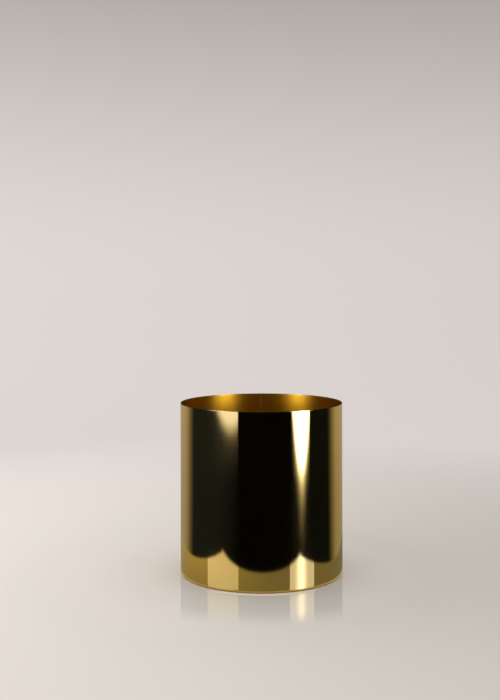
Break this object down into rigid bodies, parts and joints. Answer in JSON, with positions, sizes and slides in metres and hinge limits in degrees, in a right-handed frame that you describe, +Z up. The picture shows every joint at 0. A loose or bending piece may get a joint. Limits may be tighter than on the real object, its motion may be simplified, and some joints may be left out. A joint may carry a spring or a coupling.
{
  "type": "planter pot",
  "caption": "Straight round planter pot of polished brass sheet, open at the top, with a soldered-in base and thin foot pads.",
  "frame": {"origin": "on the pot's axis, in the plane that the foot pads stand on", "axes": "+Z up along the pot's axis, towards the open rim; +Y towards the side seam, which is the pot's back"},
  "size_m": [0.18, 0.18, 0.1885],
  "materials": {
    "polished_brass": "mirror polished outside, satin inside",
    "brazing_alloy": "filed flush and polished",
    "satin_brass": "satin",
    "tin_solder": "dull, wiped solder",
    "black_rubber": "matte"
  },
  "bodies": {
    "root": {"side_wall": "polished_brass", "side_seam": "brazing_alloy", "base_pan": "satin_brass", "base_solder_fillet": "tin_solder", "foot_pad_1": "black_rubber", "foot_pad_2": "black_rubber", "foot_pad_3": "black_rubber", "foot_pad_4": "black_rubber"}
  },
  "joints": []
}
